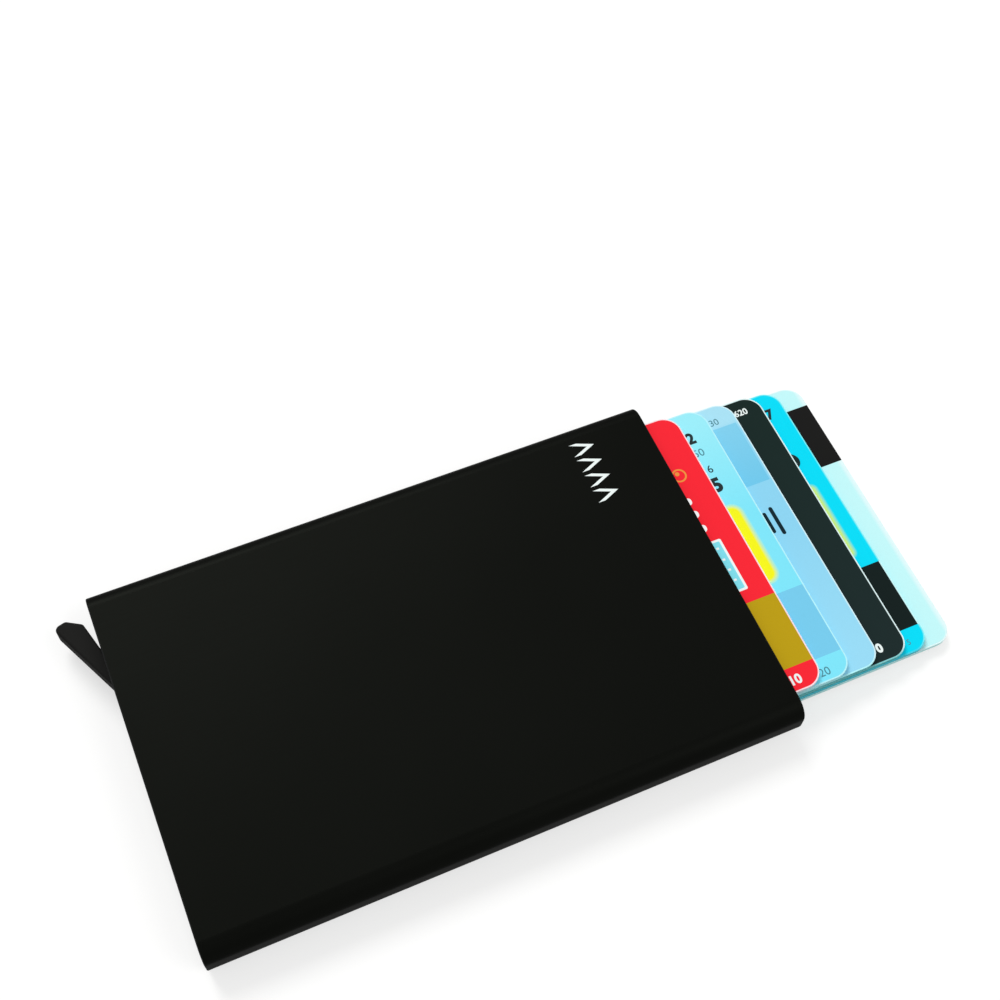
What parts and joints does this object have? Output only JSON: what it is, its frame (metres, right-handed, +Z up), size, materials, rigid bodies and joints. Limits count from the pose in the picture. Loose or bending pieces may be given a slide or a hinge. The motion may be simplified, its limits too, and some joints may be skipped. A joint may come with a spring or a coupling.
{
  "type": "card wallet",
  "caption": "Slim black aluminium pop-up card wallet: flat sleeve, corner lever with a stepped arm, cards fanned from the mouth.",
  "frame": {"origin": "centre of the sleeve's flat underside", "axes": "+X along the sleeve to the mouth, +Y across it to the side that has the lever, +Z up through its thickness"},
  "size_m": [0.134, 0.0622, 0.008],
  "materials": {
    "sleeve": "black anodised, fine satin",
    "moulding": "fine matte moulding",
    "lever": "satin moulding",
    "rail": "fine matte moulding",
    "felt": "short grey felt",
    "steel": "bright",
    "red_card": "laminated print, satin gloss",
    "sky_card": "laminated print, satin gloss",
    "blue_card": "laminated print, satin gloss",
    "black_card": "laminated print, satin gloss",
    "cyan_card": "laminated print, satin gloss",
    "aqua_card": "laminated print, satin gloss"
  },
  "bodies": {
    "case": {"sleeve": "sleeve", "base_chassis": "moulding", "mechanism_cover": "moulding", "cover_screw_near": "steel", "cover_screw_middle": "steel", "cover_screw_far": "steel", "pivot_pin": "steel", "near_side_rail": "rail", "far_side_rail": "rail", "near_rear_felt_pad": "felt", "near_front_felt_pad": "felt", "far_rear_felt_pad": "felt", "far_front_felt_pad": "felt"},
    "lever": {"eject_lever": "lever"},
    "card_1": {"card_1_red": "red_card"},
    "card_2": {"card_2_sky": "sky_card"},
    "card_3": {"card_3_blue": "blue_card"},
    "card_4": {"card_4_black": "black_card"},
    "card_5": {"card_5_cyan": "cyan_card"},
    "card_6": {"card_6_aqua": "aqua_card"}
  },
  "joints": [
    {"name": "lever_pivot", "type": "hinge", "parent": "case", "child": "lever", "pos_m": [-0.045, 0.01525, 0.004], "axis": [0, 0, 1], "range_deg": [-25.3, 0]},
    {"name": "card_1_slide", "type": "slide", "parent": "case", "child": "card_1", "axis": [1, 0, 0], "range_m": [-0.0072, 0]},
    {"name": "card_2_slide", "type": "slide", "parent": "case", "child": "card_2", "axis": [1, 0, 0], "range_m": [-0.0126, 0]},
    {"name": "card_3_slide", "type": "slide", "parent": "case", "child": "card_3", "axis": [1, 0, 0], "range_m": [-0.0181, 0]},
    {"name": "card_4_slide", "type": "slide", "parent": "case", "child": "card_4", "axis": [1, 0, 0], "range_m": [-0.0238, 0]},
    {"name": "card_5_slide", "type": "slide", "parent": "case", "child": "card_5", "axis": [1, 0, 0], "range_m": [-0.0279, 0]},
    {"name": "card_6_slide", "type": "slide", "parent": "case", "child": "card_6", "axis": [1, 0, 0], "range_m": [-0.0325, 0]}
  ],
  "couplings": [
    {"joint": "card_1_slide", "follows": "lever_pivot", "m_per_rad": 0.0163},
    {"joint": "card_2_slide", "follows": "lever_pivot", "m_per_rad": 0.02853},
    {"joint": "card_3_slide", "follows": "lever_pivot", "m_per_rad": 0.04099},
    {"joint": "card_4_slide", "follows": "lever_pivot", "m_per_rad": 0.05389},
    {"joint": "card_5_slide", "follows": "lever_pivot", "m_per_rad": 0.06318},
    {"joint": "card_6_slide", "follows": "lever_pivot", "m_per_rad": 0.0736}
  ]
}
